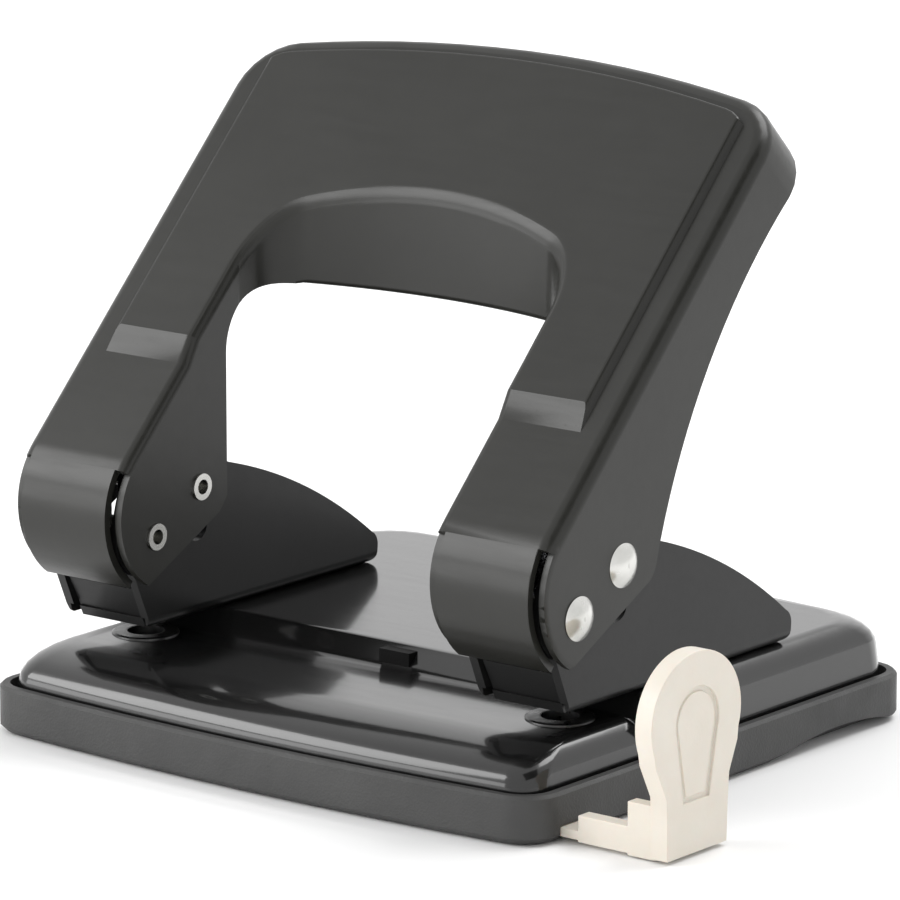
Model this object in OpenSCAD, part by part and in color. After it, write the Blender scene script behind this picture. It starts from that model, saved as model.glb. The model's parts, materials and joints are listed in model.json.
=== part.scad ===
// Two-hole desk punch: sprung press handle of folded sheet on two riveted brackets,
// a stamped steel base with dies, a clip-on chip tray and a slide-out paper guide.
// Millimetres. X runs across the paper edge, Y from the paper side (-) to the
// handle side (+), Z up. The origin is the middle of the footprint on the table.

/* [Holes] */
// Distance between the two punched holes
hole_pitch = 80; // [76:1:84]
// Diameter of a punched hole
hole_d = 5.5; // [5:0.1:6]
// How far the punch pins sit behind the handle pivots
hole_set = 9.4; // [9:0.1:9.8]

/* [Base] */
// Depth of the chip tray, front to back
tray_depth = 100; // [96:1:104]
// Height of the tray rim
tray_rim = 7.2; // [6.6:0.1:8]
// Height of the paper bed at the front
bed_z = 12.6; // [12.4:0.1:12.8]
// Height of the raised table that carries the brackets
table_z = 15.9; // [15.7:0.1:16.1]
// Thickness of the base sheet
base_t = 1.2; // [0.9:0.1:1.4]

/* [Handle] */
// Height of the handle pivots above the table top
pivot_z = 31; // [31:0.5:32]
// Width of one handle leg
leg_w = 21; // [20:0.5:22]
// Thickness of the handle sheet
sheet_t = 1.2; // [1:0.1:1.3]
// Width of the opening between the legs
gap_w = 59; // [57:0.5:60]
// Edge rounding of the handle
edge_r = 2.3; // [2:0.1:2.6]
// Height of the raised panel
panel_h = 1.2; // [0.6:0.1:1.4]
// Angle that the handle turns through
throw_deg = 33; // [20:1:33]

/* [Pins] */
// Diameter of the pivot and drive pins
pin_d = 4.1; // [3.8:0.1:4.2]
// Diameter of the domed pin heads
head_d = 6.6; // [6:0.1:7.2]

/* [Paper guide] */
// How far the guide is pulled out
guide_out = 0; // [0:1:60]

/* [Hidden] */
$fn = 48;

// Pivot line, and the middle of each leg
pivot_y = -34;
leg_x = hole_pitch / 2;
punch_y = hole_set;
half_w = leg_x + leg_w / 2;

// Handle: hood centre and radius, seen from the side, relative to the pivot
hood_y = 4.4;
hood_z = 3.4;
hood_r = 13.7;
slope = 45;
// Top outline of the handle plate, in the plane of the plate
corner_x = half_w - 10;
corner_t = 68.47;
corner_r = 10;
arch_r = 232;
arch_c = corner_t - sqrt(pow(arch_r - corner_r, 2) - pow(corner_x, 2));
// Depth of the folded rim round the top
rim_depth = 10.9;
// Tongues that close the hood in front of the brackets
tongue_w = leg_w - 4.2;
tongue_end = 233.4;
slit_from = 145;
// Opening between the legs, in plan
gap_r = 9;
gap_arc_r = 86.9;
gap_arc_y = -56;
gap_x = gap_w / 2 - gap_r;
gap_y = gap_arc_y + sqrt(pow(gap_arc_r - gap_r, 2) - pow(gap_x, 2));
// Lowest edge of the apron across the opening, and the width of its lip
apron_z = 35.2;
lip_r = 3.5;

// Bracket: a U of folded sheet, relative to the pivot
br_t = 1.5;
br_half = 8.3;
br_bend = 2.0;
br_low = table_z - pivot_z;
// Drive pin position at rest and its radius about the pivot
drive_r = 12;
drive_a = 29;
drive_y = drive_r * cos(drive_a);
drive_z = drive_r * sin(drive_a);

// Chip tray and base outlines
tray_a = leg_x + 12.8;
bow = 2.8;
bow_r = 499;
plate_a = leg_x + 10.8;
tray_floor = 1.4;
ledge_z = 2.5;
// Height over which the edges of the bed and of the table round over
front_drop = 5;
rear_drop = 4.5;

// Paper guide strip
strip_y = -41;
strip_w = 5;

// ---------- helpers ----------

// Places parts that are laid out from the pivot line
module at_pivot() {
    translate([0, pivot_y, pivot_z]) children();
}

// Extrudes a side view (Y, Z) over an X range
module along_x(x0, x1) {
    translate([x0, 0, 0])
        rotate([90, 0, 90])
            linear_extrude(x1 - x0) children();
}

function arc(cx, cy, r, a0, a1, n) =
    [for (i = [0:n]) [cx + r * cos(a0 + (a1 - a0) * i / n), cy + r * sin(a0 + (a1 - a0) * i / n)]];

// Bowed front edge with round corners, from the left side to the right side
function bow_edge(a, y, rc) =
    let (cy = y + bow_r - sqrt(pow(bow_r - rc, 2) - pow(a - rc, 2)),
         d = asin((a - rc) / (bow_r - rc)))
    concat(arc(-(a - rc), cy, rc, 180, 270 - d, 5),
           arc(0, y + bow_r, bow_r, 270 - d + d / 4, 270 + d - d / 4, 6),
           arc(a - rc, cy, rc, 270 + d, 360, 5));

function flip_y(pts) = [for (p = pts) [p[0], -p[1]]];
function backwards(pts) = [for (i = [len(pts) - 1:-1:0]) pts[i]];

// Thin slice of an outline, for blending with hull()
module slice(z, pts) {
    translate([0, 0, z - 0.02]) linear_extrude(0.02) polygon(pts);
}

// Outline bowed at both ends
function both_bowed(a, y, rc) =
    concat(bow_edge(a, -y, rc), backwards(flip_y(bow_edge(a, -y, rc))));

// Outline bowed at the front only, straight behind
function front_bowed(a, y, rc, back) =
    concat(bow_edge(a, y, rc), [[a, back], [-a, back]]);

// Outline bowed at the back only, straight in front
function back_bowed(a, y, rc, front) =
    concat([[-a, front], [a, front]], backwards(flip_y(bow_edge(a, -y, rc))));

// ---------- base ----------

// Low front half with the paper bed; its edge rounds over in a broad shoulder
module front_block(g, top) {
    hull() {
        slice(ledge_z + 0.02 - g, front_bowed(plate_a - g, -48 + g, 5 - g, -6));
        for (a = [0:15:90])
            slice(top - front_drop * (1 - sin(a)),
                  front_bowed(plate_a - 0.5 - 4 * (1 - cos(a)) - g,
                              -47.5 + 11 * (1 - cos(a)) + g, 5 - g, -6));
    }
}

// Raised rear half; the step that stops the paper slopes at 45 degrees
module rear_block(g, top, step) {
    foot = top - 3.5;
    hull() {
        slice(ledge_z + 0.02 - g, back_bowed(plate_a - g, 48 - g, 5 - g, step));
        for (a = [0:15:90])
            let (z = top - rear_drop * (1 - sin(a)))
            slice(z, back_bowed(plate_a - 0.5 - 4 * (1 - cos(a)) - g,
                                47.5 - 5.5 * (1 - cos(a)) - g, 6 + 3 * (1 - cos(a)) - g,
                                step + max(0, z - foot) + (a > 80 ? 0.7 : 0)));
    }
}

module base_plate() {
    step = -18.7;
    color([0.05, 0.05, 0.055])
    difference() {
        union() {
            front_block(0, bed_z);
            rear_block(0, table_z, step);
        }
        front_block(base_t, bed_z - base_t);
        rear_block(base_t, table_z - base_t, step + 0.5);
        for (s = [-1, 1]) {
            translate([s * leg_x, pivot_y + punch_y, 0]) cylinder(d = 8, h = 20);
            for (y = [-6, 12]) translate([s * leg_x, y, 0]) cylinder(d = 3, h = 20);
        }
        // peg hole of the paper stop
        translate([3.5, -16.9, 0]) cylinder(d = 1.54, h = 20);
    }
}

// Chip tray: closes the underside, its rim stands round the base plate
module chip_tray() {
    half = tray_depth / 2;
    color([0.16, 0.16, 0.165])
    difference() {
        union() {
            difference() {
                hull() {
                    slice(0.02, both_bowed(tray_a - 0.9, half - 0.9, 5.4));
                    slice(0.9, both_bowed(tray_a, half, 6.3));
                    slice(tray_rim - 0.5, both_bowed(tray_a, half, 6.3));
                    slice(tray_rim, both_bowed(tray_a - 0.5, half - 0.5, 5.8));
                }
                translate([0, 0, ledge_z])
                    linear_extrude(20) polygon(both_bowed(tray_a - 1.6, half - 1.6, 4.7));
                translate([0, 0, tray_floor])
                    linear_extrude(20) polygon(both_bowed(tray_a - 4, half - 4, 3));
            }
            // raised track for the paper guide
            translate([-45, strip_y - 1.6, 0.5]) cube([90, strip_w + 3.2, 2.2]);
        }
        // slot for the strip, narrow at the outlet so that its head stops there
        translate([40, strip_y - 0.2, 0.4]) cube([20, strip_w + 0.4, 1.8]);
        translate([-44, strip_y - 0.9, 0.4]) cube([84.02, strip_w + 1.8, 5]);
        // finger notch under the rear right edge
        along_x(tray_a - 3.4, tray_a + 1) translate([28, 2.1 - 70]) circle(70, $fn = 180);
    }
}

// Paper guide: a strip in the tray with an upright stop outside it
module paper_guide() {
    color([0.89, 0.86, 0.80])
    translate([guide_out, 0, 0]) {
        // strip and its head
        translate([-41, strip_y, 0.6]) cube([98, strip_w, 1.4]);
        translate([-41, strip_y - 0.6, 0.6]) cube([3, strip_w + 1.2, 1.4]);
        // arm
        translate([55.8, strip_y, 0.3]) cube([14, 2.6, 4]);
        // gusset up the back of the stop
        along_x(64.6, 69.5) translate([strip_y, 0]) square([2.2, 8]);
        // foot
        translate([55.8, strip_y, 0.3]) cube([1.2, strip_w, 2]);
        // upright stop
        difference() {
            along_x(69, 72) guide_outline();
            along_x(71.5, 73) guide_recess();
        }
        along_x(69.4, 71.8) guide_recess_fill();
    }
}

// Outline of the upright stop: a foot, a waist and a round head, seen from the side
module guide_outline() {
    bulb_y = -34.6;
    bulb_z = 20;
    translate([bulb_y, bulb_z]) scale([1, 0.92]) circle(10.7, $fn = 64);
    polygon([[-41.4, 0.3], [-27.1, 0.3], [-26.9, 6], [-26.6, 10.5], [-24.7, 14.9],
             [-24.2, 19], [-45, 19], [-44.2, 14.6], [-41.6, 9.5], [-41.4, 6]]);
}

module guide_recess() {
    translate([-34.4, 19.5]) circle(5.2, $fn = 48);
    polygon([[-39.6, 19.5], [-29.2, 19.5], [-31.4, 8], [-37.6, 8]]);
}

module guide_recess_fill() {
    translate([-34.4, 19.5]) circle(4.4, $fn = 48);
    polygon([[-38.8, 19.5], [-30, 19.5], [-32.2, 8.8], [-36.8, 8.8]]);
}

// Leaf that presses on the strip so that the guide stays where it is put
module guide_clip() {
    color("silver")
    translate([30, strip_y + 0.4, 0]) {
        translate([0, -1.6, 2.72]) cube([5, 0.01 + strip_w + 2.4, 0.4]);
        translate([0, 0.6, 2.06]) cube([5, strip_w - 2, 0.67]);
    }
}

// Dies in the paper bed
module die_body() {
    color("silver")
    translate([0, 0, bed_z])
        rotate_extrude($fn = 64)
            polygon([[2.85, 0.3], [3.1, 0.35], [4.9, 0.35], [5.2, 0.15], [5.2, 0], [4, 0],
                     [4, -base_t], [4.6, -base_t], [4.6, -1.6], [4, -2], [2.85, -2]]);
}

module die_left() {
    translate([-leg_x, pivot_y + punch_y, 0]) die_body();
}

module die_right() {
    translate([leg_x, pivot_y + punch_y, 0]) die_body();
}

// Small stop for the paper edge, pegged to the sloped step
module paper_stop() {
    color([0.03, 0.03, 0.03])
    union() {
        along_x(0.6, 6.4) polygon([[-17.9, 13.24], [-17.9, 15.3], [-15.84, 15.3]]);
        translate([3.5, -16.9, 9.8]) cylinder(d = 1.5, h = 4.8);
    }
}

// ---------- brackets ----------

// Side view of a bracket, relative to the pivot
module bracket_side() {
    difference() {
        union() {
            // front curve inside the hood, and the corner that stands on the bed
            polygon(concat(arc(0, 0, 6.5, 247, 150, 10),
                [[-4.8, 6], [-3.1, 8.6]], arc(-0.9, 8.2, 2, 165, 90, 4),
                [[13.8, 10.6], [19.6, 7.7]],
                arc(53.2, -12.1, 2.5, 54, -10, 5), [[55.6, -13.4]],
                arc(54.2, -13.7, 1.4, 10, -90, 4), [[2, br_low], [0.9, -14.4], [0.7, -13.6]]));
            // crowned top edge
            intersection() {
                translate([-7.9, -89.55]) circle(101.08, $fn = 360);
                translate([19.6, -12]) square([35, 30]);
            }
        }
        // arched path of the drive pin
        drive_slot();
        circle(d = pin_d + 0.04);
    }
}

module drive_slot() {
    w = pin_d / 2 + 0.35;
    polygon(concat(arc(0, 0, drive_r - w, drive_a, drive_a - throw_deg, 12),
                   arc(0, 0, drive_r + w, drive_a - throw_deg, drive_a, 12)));
    for (a = [drive_a, drive_a - throw_deg])
        translate([drive_r * cos(a), drive_r * sin(a)]) circle(w);
}

module bracket() {
    inner = br_half - br_t;
    color([0.07, 0.07, 0.075])
    difference() {
        // U section cut to the side view
        intersection() {
            along_x(-br_half, br_half) bracket_side();
            translate([0, 80, 0]) rotate([90, 0, 0]) linear_extrude(120) difference() {
                channel(br_half, br_bend, br_low);
                channel(inner, br_bend - br_t, br_low + br_t);
            }
        }
        // nothing of the floor in front of the web
        along_x(-inner, inner)
            polygon([[-12, -6], [-2.1, -6], [2.1, br_low], [2.1, -30], [-12, -30]]);
        // relief cuts beside the web
        for (s = [-1, 1])
            translate([s * 6.9 - 0.6, -4, br_low - 1]) cube([1.2, 9.5, 2.8]);
        translate([0, punch_y, -30]) cylinder(d = hole_d + 0.1, h = 20);
        for (y = [28, 46]) translate([0, y, -30]) cylinder(d = 3, h = 20);
    }
    // web folded up in front
    color([0.07, 0.07, 0.075])
    difference() {
        along_x(-6.3, 6.3) polygon(concat(
            [[-0.9, -8.6], [-0.2, -9.1]],
            arc(4.6, br_low + 1.9, 1.9 - 1.0 + 0.6, 205, 270, 5),
            [[6, br_low + br_t], [6, br_low]],
            arc(4.3, br_low + 3.0, 3.0, 270, 205, 6)));
        translate([0, punch_y, -30]) cylinder(d = hole_d + 0.1, h = 20);
    }
}

// Section of a channel: flat floor, rounded lower corners, open above
module channel(half, r, low) {
    translate([-half, low + r]) square([2 * half, 60]);
    translate([-half + r, low]) square([2 * (half - r), 20]);
    for (s = [-1, 1]) translate([s * (half - r), low + r]) circle(r);
}

module bracket_left() {
    at_pivot() translate([-leg_x, 0, 0]) bracket();
}

module bracket_right() {
    at_pivot() translate([leg_x, 0, 0]) bracket();
}

module bracket_rivets() {
    color("silver")
    for (s = [-1, 1], y = [-6, 12])
        translate([s * leg_x, y, table_z])
            rotate_extrude($fn = 48)
                polygon([[0, br_t + 1], [1.2, br_t + 0.95], [2.1, br_t + 0.6], [2.5, br_t],
                         [1.5, br_t], [1.5, -base_t], [2.4, -base_t], [2.4, -base_t - 0.7],
                         [0, -base_t - 0.7]]);
}

// ---------- handle ----------

// Everything in the plane of the handle plate: X, T up the slope, N outward
module in_plate() {
    translate([0, hood_y - hood_r * sin(slope), hood_z + hood_r * cos(slope)])
        rotate([slope, 0, 0]) children();
}

// Outline of the plate, d inside its edge
function plate_pts(d) =
    let (e = asin(corner_x / (arch_r - corner_r)))
    concat([[half_w - d, 1]],
           arc(corner_x, corner_t, corner_r - d, 0, 90 - e, 6),
           arc(0, arch_c, arch_r - d, 90 - e * 0.86, 90 + e * 0.86, 12),
           arc(-corner_x, corner_t, corner_r - d, 90 + e, 180, 6),
           [[d - half_w, 1]]);

// Solid enclosed by the plate and the hood, its edges rounded by edge_r
module shell_solid() {
    r = edge_r;
    hull() {
        translate([0, 0, -hood_r]) rotate([0, 90, 0])
            rotate_extrude($fn = 72)
                polygon(concat([[0, half_w], [0, -half_w]],
                               arc(hood_r - r, r - half_w, r, -90, 0, 4),
                               arc(hood_r - r, half_w - r, r, 0, 90, 4)));
        for (i = [0:4])
            translate([0, 0, -r * (1 - sin(22.5 * i)) - 0.2])
                linear_extrude(0.2) polygon(plate_pts(r * (1 - cos(22.5 * i))));
        translate([0, 0, -2 * hood_r]) linear_extrude(1) polygon(plate_pts(0));
    }
}

// The hollow inside it
module shell_hollow() {
    intersection() {
        along_x(-half_w, half_w) {
            translate([0, -hood_r]) circle(hood_r - sheet_t, $fn = 96);
            translate([0, sheet_t - 2 * hood_r]) square([120, 2 * (hood_r - sheet_t)]);
        }
        translate([0, 0, -40]) linear_extrude(60) {
            polygon(plate_pts(sheet_t));
            translate([sheet_t - half_w, -30]) square([2 * (half_w - sheet_t), 32]);
        }
    }
}

// Raised panel on the plate, its top edge g further in
module panel_solid(g) {
    w = leg_x + 5.3 - g / 2;
    intersection() {
        along_x(-60, 60)
            polygon([[17.4, 0], [21.8, panel_h], [90, panel_h], [90, -0.5], [17.4, -0.5]]);
        translate([0, 90, 0]) rotate([90, 0, 0]) linear_extrude(80)
            polygon([[-w, 0], [0.6 - w, panel_h], [w - 0.6, panel_h],
                     [w, 0], [w, -0.5], [-w, -0.5]]);
        translate([0, 0, -1]) linear_extrude(4) polygon(plate_pts(3.5 + g));
    }
}

module handle_outer() {
    in_plate() {
        shell_solid();
        panel_solid(0);
    }
}

module handle_inner() {
    in_plate() {
        shell_hollow();
        translate([0, 0, -sheet_t]) panel_solid(sheet_t);
    }
}

// Plan of the opening between the legs, g outside its edge
module gap_plan(g) {
    w = gap_w / 2 + g;
    translate([-w, -60]) square([2 * w, 60 + gap_y]);
    for (s = [-1, 1]) translate([s * gap_x, gap_y]) circle(gap_r + g, $fn = 64);
    intersection() {
        translate([0, gap_arc_y]) circle(gap_arc_r + g, $fn = 360);
        arc_wedge();
    }
}

// Side view kept of the outer flanges and the rim
module outer_side() {
    difference() {
        polygon([[-40, -5.3], [-5.4, -5.3], [-2, -7.4], [16.47, 2], [18.5, 4.42], [45, 4.42],
                 [45, 45 + rim_line()], [90, 90 + rim_line()], [-40, 130]]);
        translate([113.95, -22.67]) circle(99.22, $fn = 360);
    }
    translate([14.65, 5.5]) circle(4);
}

// Height of the rim's back edge above the line z = y
function rim_line() = hood_z - hood_y + (hood_r - rim_depth) * sqrt(2);

// Side view kept of the inner flanges and the apron
module inner_side() {
    difference() {
        polygon([[-40, -5.3], [-5.4, -5.3], [-2, -7.4], [14.8, 1.15], [16.6, 3.4],
                 [16.6, 25.5], [26.3, 25.5], [26.3, apron_z], [45, apron_z],
                 [45, 45 + rim_line()], [90, 90 + rim_line()], [-40, 130]]);
        translate([26.3, 25.5]) circle(9.7, $fn = 64);
    }
}

// Front part of the hood between two angles, outside its inner face
module hood_front(from, to) {
    translate([hood_y, hood_z]) difference() {
        polygon(concat([[0, 0]], arc(0, 0, 30, from, to, 8)));
        circle(hood_r - sheet_t - 0.2, $fn = 96);
    }
}

// Cuts away what is outside a side view, between two distances from the middle
module trim_side(x0, x1) {
    for (m = [0, 1]) mirror([m, 0, 0])
        along_x(x0, x1) difference() {
            translate([-60, -60]) square(200);
            children();
        }
}

// Sheet body before it is trimmed
module handle_sheet() {
    difference() {
        handle_outer();
        // opening between the legs
        translate([0, 0, -60]) linear_extrude(160) gap_plan(0);
        // hollow, up to the wall round the opening
        difference() {
            handle_inner();
            translate([0, 0, -70]) linear_extrude(180) gap_plan(sheet_t);
            // lip along the apron's lower edge, turned back under the plate
            translate([0, 0, apron_z]) linear_extrude(sheet_t) intersection() {
                gap_plan(lip_r);
                translate([-40, 26.5]) square([80, 20]);
            }
        }
    }
}

// Middle of the handle: inner flanges and apron
module trimmed_middle(x) {
    difference() {
        handle_sheet();
        trim_side(0, x) difference() {
            inner_side();
            hood_front(slit_from, 262);
        }
    }
}

// Legs: the tongues between their slits
module trimmed_legs(x0, x1) {
    difference() {
        trimmed_middle(x0);
        trim_side(x0, x1) difference() {
            union() {
                outer_side();
                translate([hood_y, hood_z])
                    polygon(concat([[0, 0]], arc(0, 0, 30, 135, tongue_end, 8)));
            }
            hood_front(tongue_end, 262);
        }
    }
}

// Outer flanges
module trimmed_sides(x0, x1) {
    difference() {
        trimmed_legs(x0, x1);
        trim_side(x1, 70) difference() {
            outer_side();
            hood_front(slit_from, 262);
        }
    }
}

module handle_shell() {
    color([0.09, 0.09, 0.095])
    at_pivot() difference() {
        trimmed_sides(leg_x - tongue_w / 2, leg_x + tongue_w / 2);
        // pin holes: running fit on the pivots, tight on the drive pins
        translate([-60, 0, 0]) rotate([0, 90, 0]) cylinder(d = pin_d + 0.1, h = 120);
        translate([-60, drive_y, drive_z])
            rotate([0, 90, 0]) cylinder(d = pin_d + 0.02, h = 120);
    }
}

// Plan sector that the arch of the opening spans between its corner arcs
module arc_wedge() {
    k = 1.5;
    polygon([[0, gap_arc_y], [k * gap_x, gap_arc_y + k * (gap_y - gap_arc_y)],
             [-k * gap_x, gap_arc_y + k * (gap_y - gap_arc_y)]]);
}

// ---------- pins, punches and springs ----------

// Pin with a domed head outside the leg and a hollow end inside it
module leg_pin(s, gap) {
    x_in = -leg_w / 2 - 0.4;
    x_out = leg_w / 2 + gap;
    translate([s * leg_x, 0, 0]) mirror([s < 0 ? 1 : 0, 0, 0]) rotate([0, 90, 0])
        difference() {
            union() {
                translate([0, 0, x_in]) cylinder(d = pin_d, h = x_out - x_in + 0.2);
                intersection() {
                    translate([0, 0, x_out]) cylinder(d = head_d, h = 2);
                    translate([0, 0, x_out - 4.3]) sphere(r = 5.5, $fn = 64);
                }
            }
            translate([0, 0, x_in - 1]) cylinder(d = 2.3, h = 5);
        }
}

module pivot_pins() {
    color("silver") at_pivot() for (s = [-1, 1]) leg_pin(s, 0.05);
}

module drive_pins() {
    color("silver") at_pivot() translate([0, drive_y, drive_z])
        for (s = [-1, 1]) leg_pin(s, 0);
}

// Spacer washers between bracket and handle
module pivot_washers() {
    w = leg_w / 2 - sheet_t - br_half;
    color("silver")
    at_pivot() for (s = [-1, 1], e = [-1, 1])
        translate([s * leg_x + e * (br_half + w / 2 - 0.03), 0, 0]) rotate([0, 90, 0])
            difference() {
                cylinder(d = 7.4, h = w - 0.1, center = true);
                cylinder(d = pin_d + 0.02, h = w + 1, center = true);
            }
}

module punch_body(s) {
    notch = pin_d / 2 + 0.4;
    color([0.55, 0.56, 0.58])
    at_pivot() translate([s * leg_x, punch_y, 0]) difference() {
        union() {
            translate([0, 0, br_low + 0.1]) cylinder(d = hole_d, h = 15);
            translate([0, 0, -1]) cylinder(d = 8, h = 10.5);
            translate([0, 0, 9.5]) cylinder(d1 = 8, d2 = 6.4, h = 0.8);
        }
        // cross notch that the drive pin works in, open behind
        translate([-6, drive_y - punch_y - notch, drive_z - notch]) cube([12, 12, 2 * notch]);
        // hollow cutting end with two points
        translate([0, 6, br_low]) rotate([90, 0, 0]) linear_extrude(12)
            polygon([[-2.6, -1], [-2.6, 0.1], [0, 1.5], [2.6, 0.1], [2.6, -1]]);
    }
}

module punch_left() {
    punch_body(-1);
}

module punch_right() {
    punch_body(1);
}

// Compression spring between the bracket floor and the shoulder of a punch
spring_r = 3.4;
wire_r = 0.4;
turns = 6;
spring_low = br_low + br_t + 0.4;
spring_h = -1 - spring_low;
rings = 96;
sides = 8;

// Height along the coil: closed ends, even pitch between them
function coil_z(u) =
    let (e = 0.15, rise = 0.9)
    u < e ? rise * u / e
    : u > 1 - e ? spring_h - 2 * wire_r - rise * (1 - u) / e
    : rise + (spring_h - 2 * wire_r - 2 * rise) * (u - e) / (1 - 2 * e);

module spring() {
    pts = [for (i = [0:rings], j = [0:sides - 1])
        let (u = i / rings, a = 360 * turns * u, b = 360 * j / sides)
        [(spring_r + wire_r * cos(b)) * cos(a), (spring_r + wire_r * cos(b)) * sin(a),
         spring_low + wire_r + coil_z(u) + wire_r * sin(b)]];
    faces = concat(
        [[for (j = [0:sides - 1]) j]],
        [for (i = [0:rings - 1], j = [0:sides - 1])
            let (k = (j + 1) % sides)
            [i * sides + j, (i + 1) * sides + j, (i + 1) * sides + k, i * sides + k]],
        [[for (j = [sides - 1:-1:0]) rings * sides + j]]);
    polyhedron(pts, faces, convexity = 6);
}

module spring_left() {
    color("silver") at_pivot() translate([-leg_x, punch_y, 0]) spring();
}

module spring_right() {
    color("silver") at_pivot() translate([leg_x, punch_y, 0]) spring();
}

// Washers that the springs stand on
module spring_seats() {
    color("silver")
    at_pivot() for (s = [-1, 1]) translate([s * leg_x, punch_y, br_low + br_t])
        difference() {
            cylinder(d = 9.4, h = 0.4);
            translate([0, 0, -1]) cylinder(d = hole_d + 0.2, h = 3);
        }
}

base_plate();
chip_tray();
paper_guide();
guide_clip();
bracket_left();
bracket_right();
bracket_rivets();
die_left();
die_right();
paper_stop();
handle_shell();
pivot_pins();
pivot_washers();
drive_pins();
punch_left();
punch_right();
spring_left();
spring_right();
spring_seats();
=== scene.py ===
import json
import math

import bmesh
import bpy
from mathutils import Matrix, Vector


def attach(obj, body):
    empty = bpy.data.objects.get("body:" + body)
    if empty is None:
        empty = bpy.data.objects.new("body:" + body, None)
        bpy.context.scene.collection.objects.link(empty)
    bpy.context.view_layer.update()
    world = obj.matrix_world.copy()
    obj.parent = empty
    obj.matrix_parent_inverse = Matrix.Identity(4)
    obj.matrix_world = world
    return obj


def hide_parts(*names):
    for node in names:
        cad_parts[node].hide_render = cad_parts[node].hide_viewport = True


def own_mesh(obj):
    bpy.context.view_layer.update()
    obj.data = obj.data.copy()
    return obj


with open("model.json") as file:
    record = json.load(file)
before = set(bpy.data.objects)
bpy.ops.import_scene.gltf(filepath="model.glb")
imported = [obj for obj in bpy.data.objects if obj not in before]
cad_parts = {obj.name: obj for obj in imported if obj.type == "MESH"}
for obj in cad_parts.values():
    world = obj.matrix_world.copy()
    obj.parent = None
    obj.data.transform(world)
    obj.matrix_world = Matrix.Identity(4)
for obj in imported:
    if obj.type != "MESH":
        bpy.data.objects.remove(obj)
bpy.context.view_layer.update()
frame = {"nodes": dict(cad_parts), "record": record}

MM = 0.001


# ---------- node helpers ----------

def new_material(name):
    """A material with one Principled shader: returns it, its node tree and the shader."""
    m = bpy.data.materials.new(name)
    m.use_nodes = True
    m.node_tree.nodes.clear()
    out = m.node_tree.nodes.new("ShaderNodeOutputMaterial")
    bsdf = m.node_tree.nodes.new("ShaderNodeBsdfPrincipled")
    m.node_tree.links.new(bsdf.outputs[0], out.inputs[0])
    return m, m.node_tree, bsdf


def object_coords(tree):
    return tree.nodes.new("ShaderNodeTexCoord").outputs["Object"]


def noise(tree, coord, scale, detail, rough, stretch=(1, 1, 1), dist=0.0):
    mapping = tree.nodes.new("ShaderNodeMapping")
    mapping.inputs["Scale"].default_value = stretch
    tree.links.new(coord, mapping.inputs[0])
    n = tree.nodes.new("ShaderNodeTexNoise")
    n.inputs["Scale"].default_value = scale
    n.inputs["Detail"].default_value = detail
    n.inputs["Roughness"].default_value = rough
    n.inputs["Distortion"].default_value = dist
    tree.links.new(mapping.outputs[0], n.inputs["Vector"])
    return n.outputs[0]


def ramp(tree, fac, stops):
    """Turns a value into the colours (or greys) of the stops."""
    r = tree.nodes.new("ShaderNodeValToRGB")
    for e, (p, c) in zip(r.color_ramp.elements, stops):
        e.position = p
        e.color = (c, c, c, 1) if isinstance(c, float) else (*c, 1)
    tree.links.new(fac, r.inputs[0])
    return r.outputs[0]


def span(tree, fac, lo, hi):
    """Stretches the middle of a noise, 0.3 to 0.7, over lo to hi."""
    m = tree.nodes.new("ShaderNodeMapRange")
    m.inputs["From Min"].default_value = 0.3
    m.inputs["From Max"].default_value = 0.7
    m.inputs["To Min"].default_value = lo
    m.inputs["To Max"].default_value = hi
    tree.links.new(fac, m.inputs[0])
    return m.outputs[0]


def bumps(tree, bsdf, layers):
    """Stacks bump layers (height, distance in metres, strength) on the shader's normal."""
    last = None
    for height, distance, strength in layers:
        b = tree.nodes.new("ShaderNodeBump")
        b.inputs["Distance"].default_value = distance
        b.inputs["Strength"].default_value = strength
        tree.links.new(height, b.inputs["Height"])
        if last:
            tree.links.new(last, b.inputs["Normal"])
        last = b.outputs[0]
    tree.links.new(last, bsdf.inputs["Normal"])
    return last


# ---------- materials ----------

def enamel(name, dark, light, rough, coat, peel, dust, ior):
    """Stoved enamel: orange peel, cloudy tone, faint wipe marks, specks of dust."""
    m, t, b = new_material(name)
    c = object_coords(t)
    cloud = noise(t, c, 38, 5, 0.6)
    fine = noise(t, c, 2600, 3, 0.6)
    t.links.new(ramp(t, cloud, [(0.3, dark), (0.72, light)]), b.inputs["Base Color"])
    wipe = noise(t, c, 60, 4, 0.65, (1, 9, 9), 0.6)
    speck = ramp(t, noise(t, c, 1900, 1, 0.4), [(0.70, 0.0), (0.78, 1.0)])
    dusty = t.nodes.new("ShaderNodeMath")
    dusty.operation = "MULTIPLY_ADD"
    dusty.inputs[1].default_value = dust
    t.links.new(speck, dusty.inputs[0])
    t.links.new(span(t, wipe, rough[0], rough[1]), dusty.inputs[2])
    t.links.new(dusty.outputs[0], b.inputs["Roughness"])
    b.inputs["IOR"].default_value = ior
    b.inputs["Coat Weight"].default_value = coat[0]
    b.inputs["Coat Roughness"].default_value = coat[1]
    b.inputs["Coat IOR"].default_value = 1.47
    skin = noise(t, c, 420, 3, 0.5)
    peeled = bumps(t, b, [(skin, 0.05 * MM, peel), (fine, 0.01 * MM, peel * 0.8)])
    t.links.new(peeled, b.inputs["Coat Normal"])
    return m


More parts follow.
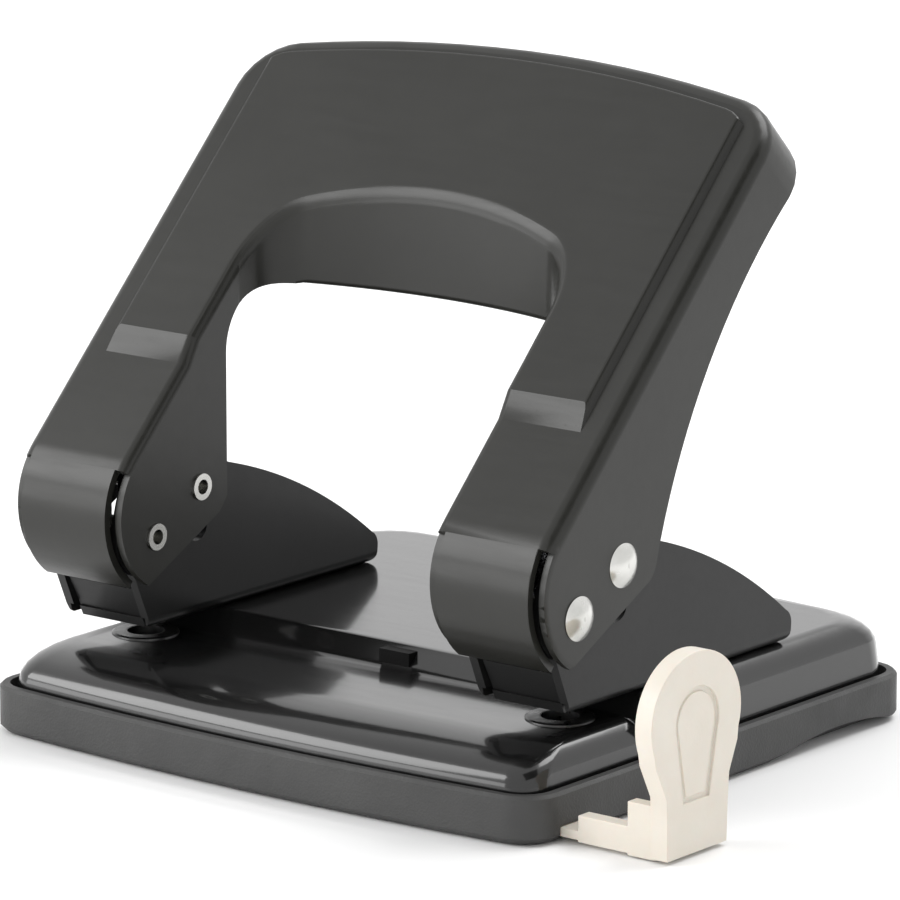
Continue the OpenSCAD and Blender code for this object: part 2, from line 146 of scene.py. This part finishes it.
def plastic(name, dark, light, rough, grain, cell, sss, ior):
    """Moulded plastic: fine spark-eroded grain, cloudy tone, rubbed patches."""
    m, t, b = new_material(name)
    c = object_coords(t)
    cloud = noise(t, c, 55, 5, 0.62)
    t.links.new(ramp(t, cloud, [(0.3, dark), (0.7, light)]), b.inputs["Base Color"])
    rubbed = noise(t, c, 140, 4, 0.6)
    t.links.new(span(t, rubbed, rough[0], rough[1]), b.inputs["Roughness"])
    b.inputs["IOR"].default_value = ior
    if sss:
        b.inputs["Subsurface Weight"].default_value = sss
        b.inputs["Subsurface Scale"].default_value = 1.5 * MM
    cells = t.nodes.new("ShaderNodeTexVoronoi")
    cells.inputs["Scale"].default_value = cell
    t.links.new(c, cells.inputs["Vector"])
    waves = noise(t, c, 300, 4, 0.6)
    bumps(t, b, [(cells.outputs["Distance"], 0.06 * MM, grain), (waves, 0.08 * MM, grain * 0.5)])
    return m


def metal(name, dark, light, rough, stretch, scale, strength):
    """Plated or ground metal: directional lines, tarnish clouds."""
    m, t, b = new_material(name)
    c = object_coords(t)
    tarnish = noise(t, c, 260, 3, 0.5)
    t.links.new(ramp(t, tarnish, [(0.3, dark), (0.68, light)]), b.inputs["Base Color"])
    b.inputs["Metallic"].default_value = 1.0
    lines = noise(t, c, scale, 3, 0.6, stretch)
    t.links.new(span(t, lines, rough[0], rough[1]), b.inputs["Roughness"])
    dents = noise(t, c, 700, 3, 0.5)
    bumps(t, b, [(lines, 0.03 * MM, strength), (dents, 0.03 * MM, strength * 0.6)])
    return m


MAT = {
    "handle_enamel": enamel(
        "handle_enamel", (0.0125, 0.0125, 0.0105), (0.0185, 0.0185, 0.0160),
        rough=(0.28, 0.37), coat=(0.18, 0.18), peel=0.30, dust=0.10, ior=1.39),
    "black_enamel": enamel(
        "black_enamel", (0.007, 0.007, 0.007), (0.012, 0.012, 0.012),
        rough=(0.30, 0.40), coat=(0.10, 0.15), peel=0.25, dust=0.10, ior=1.36),
    "gloss_enamel": enamel(
        "gloss_enamel", (0.005, 0.005, 0.005), (0.009, 0.009, 0.009),
        rough=(0.16, 0.24), coat=(0.9, 0.09), peel=0.12, dust=0.04, ior=1.40),
    "tray_plastic": plastic(
        "tray_plastic", (0.032, 0.032, 0.032), (0.047, 0.047, 0.046),
        rough=(0.42, 0.58), grain=0.5, cell=2600, sss=0.0, ior=1.49),
    "guide_plastic": plastic(
        "guide_plastic", (0.66, 0.61, 0.53), (0.72, 0.675, 0.60),
        rough=(0.34, 0.46), grain=0.18, cell=1800, sss=0.12, ior=1.49),
    "stop_plastic": plastic(
        "stop_plastic", (0.004, 0.004, 0.004), (0.008, 0.008, 0.008),
        rough=(0.4, 0.55), grain=0.3, cell=2200, sss=0.0, ior=1.15),
    "nickel": metal(
        "nickel", (0.60, 0.60, 0.57), (0.72, 0.715, 0.69),
        rough=(0.22, 0.28), stretch=(1, 1, 1), scale=700, strength=0.04),
    "bright_steel": metal(
        "bright_steel", (0.50, 0.51, 0.52), (0.66, 0.67, 0.69),
        rough=(0.22, 0.38), stretch=(1, 1, 6), scale=700, strength=0.3),
    "die_steel": metal(
        "die_steel", (0.10, 0.10, 0.10), (0.20, 0.20, 0.20),
        rough=(0.25, 0.4), stretch=(1, 1, 1), scale=600, strength=0.3),
    "tool_steel": metal(
        "tool_steel", (0.42, 0.43, 0.45), (0.56, 0.57, 0.60),
        rough=(0.20, 0.34), stretch=(1, 1, 14), scale=500, strength=0.4),
}

# nodes that look different from the rest of their slot
LOOK_OF = {"die_left": "die_steel", "die_right": "die_steel"}
SLOT_OF = {s["node"]: s["material_slot"] for s in frame["record"]["subparts"]}


# ---------- mesh helpers ----------

WELD = 0.003 * MM      # corners closer than this are one
ROUND_STEPS = 3        # segments across a small rounded edge


def sharp_edges(bm, degrees):
    return [e for e in bm.edges
            if len(e.link_faces) == 2 and e.calc_face_angle(0) > math.radians(degrees)]


def welded(node, flat=0.6):
    """A bmesh copy of a CAD node, welded, with faces within flat degrees of each other joined."""
    src = frame["nodes"][node].data
    bm = bmesh.new()
    verts = [bm.verts.new(v.co) for v in src.vertices]
    for poly in src.polygons:
        try:
            bm.faces.new([verts[i] for i in poly.vertices])
        except ValueError:
            pass  # the same face twice
    bmesh.ops.remove_doubles(bm, verts=bm.verts, dist=WELD)
    bmesh.ops.dissolve_limit(bm, angle_limit=math.radians(flat), verts=bm.verts, edges=bm.edges)
    bmesh.ops.recalc_face_normals(bm, faces=bm.faces)
    return bm


def bevel_edges(bm, edges, width, segments, clamp=True):
    bmesh.ops.bevel(bm, geom=edges, offset=width, segments=segments, profile=0.5,
                    affect="EDGES", clamp_overlap=clamp)


def smooth_by_angle(mesh, degrees):
    """Smooth shading with the edges sharper than the angle kept sharp."""
    bm = bmesh.new()
    bm.from_mesh(mesh)
    for f in bm.faces:
        f.smooth = True
    for e in bm.edges:
        e.smooth = not (len(e.link_faces) == 2 and e.calc_face_angle(0) > math.radians(degrees))
    bm.to_mesh(mesh)
    bm.free()


def show(obj, node, mat):
    """Gives a piece the material of its node's slot and parents it to the node's body, so it
    rides with that body.
    """
    obj.data.materials.clear()
    obj.data.materials.append(MAT[LOOK_OF.get(node, mat)])
    body = next(b for b, ns in frame["record"]["behaviour"]["bodies"].items() if node in ns)
    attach(obj, body)


def finish_piece(bm, node, name, shade):
    """Makes the piece that stands for a node, shaded sharp above shade degrees."""
    mesh = bpy.data.meshes.new(name)
    bm.to_mesh(mesh)
    bm.free()
    obj = bpy.data.objects.new(name, mesh)
    bpy.context.scene.collection.objects.link(obj)
    smooth_by_angle(mesh, shade)
    wn = obj.modifiers.new("even_normals", "WEIGHTED_NORMAL")
    wn.keep_sharp = True
    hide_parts(node)
    show(obj, node, SLOT_OF[node])
    return obj


def rounded(node, width, limit=35, shade=32):
    """Shows a node with its edges sharper than limit degrees rounded by width."""
    bm = welded(node)
    bevel_edges(bm, sharp_edges(bm, limit), width, ROUND_STEPS)
    finish_piece(bm, node, node + "_look", shade)


# ---------- the handle ----------
# PIVOT is in metres. The other lengths are millimetres from it, as in the part's source.

PIVOT = Vector((0, -0.034, 0.031))
PLATE_FOOT = (-5.287, 13.087)    # (y, z) where the outer face of the 45 degree plate starts
HOOD_CENTRE = (4.4, 3.4)         # (y, z)
HOOD_OUTSIDE = 13.4              # between the hood's inner face, 12.5, and its outer face, 13.7
GAP_SIDE_X = 29.5                # straight sides of the handle's opening
GAP_CORNER = (20.5, 19.15)       # centre (x, y) and radius of its rounded corners
GAP_CORNER_R = 9
GAP_ARC_Y = -56                  # centre and radius of the shallow arc between them
GAP_ARC_R = 86.9
PANEL_START = 17                 # just below the lower end of the raised panel
PANEL_SIDE = 45.6                # just outside its sides
PANEL_TOP = 1.15                 # just under its top, 1.2 above the plate
LIP_Z = 35.2                     # lower edge of the apron
LIP_FRONT_Y = 27                 # the apron lies behind this
ON_FACE = 0.03                   # a corner this close to a face is on it
ON_OUTLINE = 0.06                # and this close to the outline of the opening


def rel(co):
    """Place relative to the pivot line, in millimetres."""
    return (co - PIVOT) / MM


def along_plate(p):
    """Distance up the slope of the handle plate from its foot."""
    return (p.y - PLATE_FOOT[0] + p.z - PLATE_FOOT[1]) * math.sqrt(0.5)


def above_plate(p):
    """Height above the outer face of the handle plate."""
    return (p.z - PLATE_FOOT[1] - p.y + PLATE_FOOT[0]) * math.sqrt(0.5)


def on_gap_outline(p):
    """True for a place on the plan outline of the handle's opening."""
    x, y = abs(p.x), p.y
    corner_x, corner_y = GAP_CORNER
    if y < corner_y:
        away = x - GAP_SIDE_X
    elif x * (corner_y - GAP_ARC_Y) > (y - GAP_ARC_Y) * corner_x:
        away = math.hypot(x - corner_x, y - corner_y) - GAP_CORNER_R
    else:
        away = math.hypot(x, y - GAP_ARC_Y) - GAP_ARC_R
    return abs(away) < ON_OUTLINE


def on_fold(p):
    """True for a corner of the sheet's outer face on the edge of the opening."""
    if along_plate(p) > 0:
        outside = above_plate(p) > -0.1
    else:
        outside = math.hypot(p.y - HOOD_CENTRE[0], p.z - HOOD_CENTRE[1]) > HOOD_OUTSIDE
    return outside and on_gap_outline(p)


def on_lip(p):
    """True for a corner on the lower edge of the apron."""
    return abs(p.z - LIP_Z) < ON_FACE and p.y > LIP_FRONT_Y and on_gap_outline(p)


def on_panel(p):
    """True for a corner of the raised panel, or of its foot on the plate."""
    return along_plate(p) > PANEL_START and abs(p.x) < PANEL_SIDE and above_plate(p) > -ON_FACE


def on_panel_top(p):
    return on_panel(p) and above_plate(p) > PANEL_TOP


def edges_where(bm, degrees, test):
    """The edges sharper than the angle with both ends passing the test."""
    return [e for e in sharp_edges(bm, degrees) if all(test(rel(v.co)) for v in e.verts)]


def make_handle():
    bm = welded("handle_shell", 0.5)
    bevel_edges(bm, edges_where(bm, 25, on_fold), 1.7 * MM, 6, clamp=False)
    bevel_edges(bm, edges_where(bm, 60, on_lip), 0.9 * MM, 4, clamp=False)
    bevel_edges(bm, edges_where(bm, 30, on_panel_top), 0.45 * MM, 3)
    bevel_edges(bm, sharp_edges(bm, 45), 0.22 * MM, 2)
    obj = finish_piece(bm, "handle_shell", "handle_look", 26)
    # the panel keeps crisp edges, though its sides are shallow
    bm = bmesh.new()
    bm.from_mesh(obj.data)
    for e in edges_where(bm, 8, on_panel):
        e.smooth = False
    bm.to_mesh(obj.data)
    bm.free()


# ---------- the pieces ----------

for node, obj in frame["nodes"].items():
    obj.data.materials.clear()
    obj.data.materials.append(MAT[LOOK_OF.get(node, SLOT_OF[node])])

make_handle()
for node, width in (("bracket_left", 0.3), ("bracket_right", 0.3), ("paper_guide", 0.45),
                    ("chip_tray", 0.35), ("paper_stop", 0.3)):
    rounded(node, width * MM)
rounded("base_plate", 0.3 * MM, limit=50, shade=48)
for side, x in (("left", -0.04), ("right", 0.04)):
    spring = "spring_" + side
    coil = finish_piece(welded(spring, 0), spring, spring + "_look", 60)
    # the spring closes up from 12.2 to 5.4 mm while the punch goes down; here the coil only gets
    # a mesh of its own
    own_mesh(coil)


# ---------- stage ----------

def stage_plane(name, size, loc, rot, mat):
    bpy.ops.mesh.primitive_plane_add(size=1, location=loc, rotation=rot)
    o = bpy.context.object
    o.name = name
    o.scale = (size[0], size[1], 1)
    o.data.materials.append(mat)


def stage_material(name, cloud, dark, light, rough):
    """Matt paper with faint clouds: cloud is the noise's scale, detail and roughness."""
    m, t, b = new_material(name)
    clouds = noise(t, object_coords(t), *cloud)
    t.links.new(ramp(t, clouds, [(0.3, dark), (0.7, light)]), b.inputs["Base Color"])
    b.inputs["Roughness"].default_value = rough
    return m


def facing(direction, axis):
    """Rotation that turns an object's axis to the direction."""
    return Vector(direction).to_track_quat(axis, "Y").to_euler()


def area(name, loc, target, size, power):
    light = bpy.data.lights.new(name, "AREA")
    light.shape = "RECTANGLE"
    light.size, light.size_y = size
    light.energy = power
    o = bpy.data.objects.new(name, light)
    bpy.context.scene.collection.objects.link(o)
    o.location = loc
    o.rotation_euler = facing(Vector(target) - Vector(loc), "-Z")


stage_plane("floor", (8, 8), (0, 0, -0.0003), (0, 0, 0),
            stage_material("pale_floor", (3, 3, 0.5), dark=0.90, light=0.93, rough=0.65))

world = bpy.data.worlds.new("studio")
bpy.context.scene.world = world
world.use_nodes = True
background = world.node_tree.nodes["Background"]
background.inputs[0].default_value = (1.0, 1.0, 1.0, 1)
background.inputs[1].default_value = 0.95

area("key", (-1.08, -1.02, 0.95), target=(0, 0, 0.04), size=(1.0, 0.8), power=12)
area("low", (-0.80, -1.00, 0.19), target=(0, 0, 0.06), size=(0.9, 0.35), power=2.8)
area("top", (0.2, 0.9, 1.4), target=(0, 0, 0), size=(1.2, 1.0), power=15)

# a black card over the right side, which the grooves beside the raised panel reflect
stage_plane("card", (0.8, 0.8), (0.75, -0.3, 1.15), facing((-0.75, 0.3, -1.1), "Z"),
            stage_material("black_card", (12, 4, 0.6), dark=0.01, light=0.02, rough=0.9))

camera = bpy.data.cameras.new("camera")
camera.sensor_width = 36
camera.lens = 257.07
cam = bpy.data.objects.new("camera", camera)
bpy.context.scene.collection.objects.link(cam)
cam.location = (0.5894, -0.7436, 0.2598)
cam.rotation_euler = (math.radians(77.1), 0, math.radians(38.4))
bpy.context.scene.camera = cam
bpy.context.scene.view_settings.view_transform = "Standard"
bpy.context.scene.view_settings.exposure = 0.0
